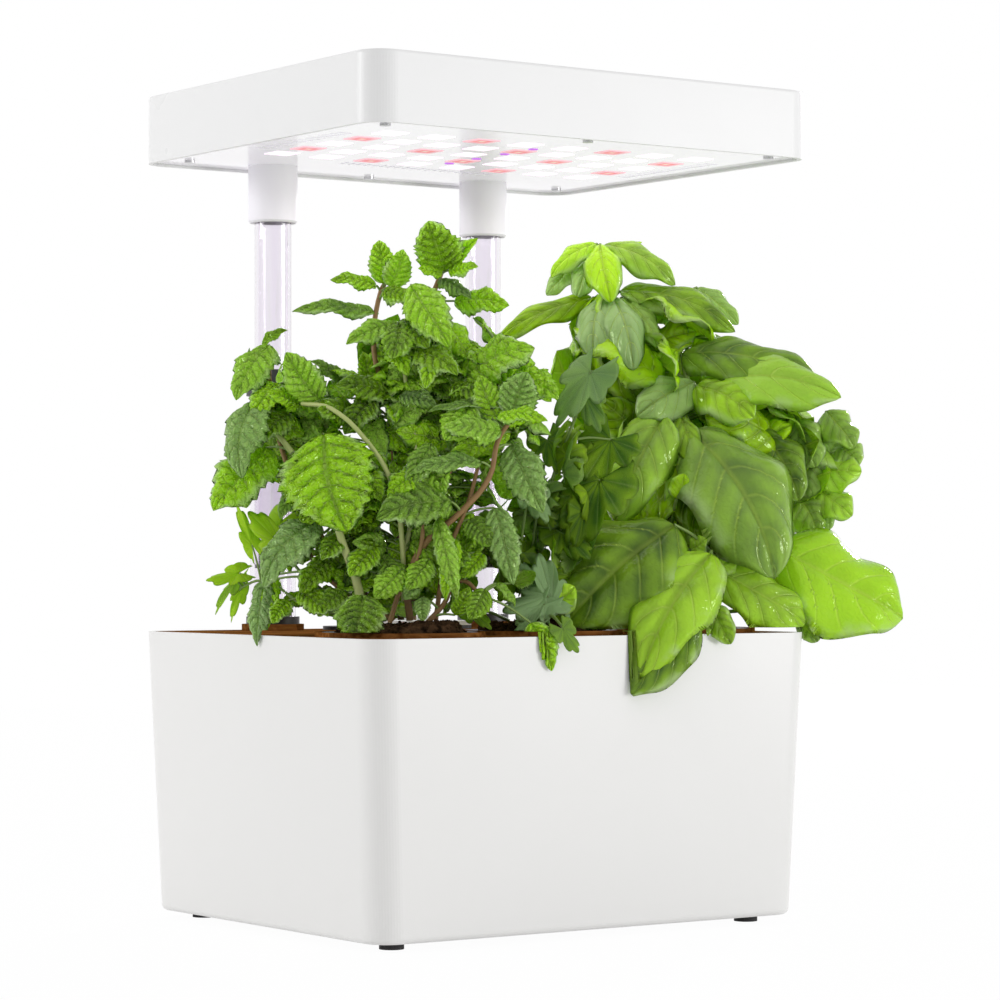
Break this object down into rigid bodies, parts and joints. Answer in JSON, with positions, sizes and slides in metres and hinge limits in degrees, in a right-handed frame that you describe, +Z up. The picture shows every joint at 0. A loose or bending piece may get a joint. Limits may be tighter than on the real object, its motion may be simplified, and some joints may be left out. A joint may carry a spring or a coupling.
{
  "type": "countertop hydroponic garden",
  "caption": "Countertop herb garden: white water planter with a wooden deck and net pots of herbs under a flat grow lamp that rides on telescoping clear tubes.",
  "frame": {"origin": "on the table, under the middle of the planter", "axes": "+X to the right and +Y to the back as seen from the front of the planter, +Z up"},
  "size_m": [0.3755, 0.2604, 0.4432],
  "materials": {
    "white_shell": "satin",
    "hood_white": "satin",
    "panel_white": "gloss",
    "collar_white": "gloss",
    "button_white": "satin",
    "flap_white": "satin",
    "black_rubber": "matte",
    "tank_grey": "satin",
    "bamboo": "satin",
    "black_plastic": "satin",
    "steel": "satin",
    "dark_steel": "satin",
    "clear_tube": "gloss",
    "float_orange": "satin",
    "float_red": "gloss",
    "growing_medium": "matte",
    "wick_felt": "matte",
    "mint_leaf": "satin",
    "cilantro_leaf": "matte",
    "basil_leaf": "satin",
    "board_white": "satin",
    "board_green": "satin",
    "chip_white": "matte",
    "white_light": "gloss",
    "red_light": "gloss",
    "violet_light": "gloss",
    "spreader": "satin",
    "lead_red": "satin",
    "plunger_cream": "satin"
  },
  "bodies": {
    "planter": {"planter_shell": "white_shell", "rubber_feet": "black_rubber", "water_tank": "tank_grey"},
    "deck": {"bamboo_deck": "bamboo", "tube_sockets": "black_plastic", "socket_screws": "steel", "lower_tubes": "clear_tube", "lock_rings": "black_plastic", "fill_bezel": "black_plastic", "hinge_pin": "steel", "float_cage": "black_plastic"},
    "flap": {"fill_flap": "flap_white"},
    "float": {"level_float": "float_orange", "float_tip": "float_red"},
    "left_pod": {"net_pot_left": "black_plastic", "medium_left": "growing_medium", "wick_left": "wick_felt", "mint_plant": "mint_leaf", "side_cilantro_plant": "cilantro_leaf"},
    "centre_pod": {"net_pot_centre": "black_plastic", "medium_centre": "growing_medium", "wick_centre": "wick_felt", "cilantro_plant": "cilantro_leaf"},
    "right_pod": {"net_pot_right": "black_plastic", "medium_right": "growing_medium", "wick_right": "wick_felt", "basil_plant": "basil_leaf", "basil_rim_leaves": "basil_leaf"},
    "lamp": {"hood_shell": "hood_white", "light_panel": "panel_white", "panel_screws": "steel", "led_board": "board_white", "led_chips": "chip_white", "white_lenses": "white_light", "red_lenses": "red_light", "violet_lenses": "violet_light", "heat_spreader": "spreader", "tube_bridge": "spreader", "tube_collars": "collar_white", "collar_nuts": "dark_steel", "upper_tubes": "clear_tube", "tube_end_plugs": "black_rubber", "driver_board": "board_green", "driver_screws": "steel", "driver_parts": "black_plastic", "dc_jack": "black_plastic", "dc_pin": "steel", "led_leads": "lead_red", "touch_switch": "black_plastic"},
    "button": {"power_button": "button_white", "switch_plunger": "plunger_cream"}
  },
  "joints": [
    {"name": "deck_lift", "type": "slide", "parent": "planter", "child": "deck", "axis": [0, 0, 1], "range_m": [0, 0.05]},
    {"name": "left_pod_lift", "type": "slide", "parent": "deck", "child": "left_pod", "axis": [0, 0, 1], "range_m": [0, 0.025]},
    {"name": "centre_pod_lift", "type": "slide", "parent": "deck", "child": "centre_pod", "axis": [0, 0, 1], "range_m": [0, 0.025]},
    {"name": "right_pod_lift", "type": "slide", "parent": "deck", "child": "right_pod", "axis": [0, 0, 1], "range_m": [0, 0.025]},
    {"name": "flap_hinge", "type": "hinge", "parent": "deck", "child": "flap", "pos_m": [0.022, 0.097, 0.1585], "axis": [-1, 0, 0], "range_deg": [0, 100]},
    {"name": "float_rise", "type": "slide", "parent": "deck", "child": "float", "axis": [0, 0, 1], "range_m": [0, 0.03]},
    {"name": "lamp_height", "type": "slide", "parent": "deck", "child": "lamp", "axis": [0, 0, 1], "range_m": [-0.034, 0.07]},
    {"name": "button_press", "type": "slide", "parent": "lamp", "child": "button", "axis": [0, 0, -1], "range_m": [0, 0.0008], "stiffness_N_per_m": 1500, "springref_m": -0.0006}
  ]
}
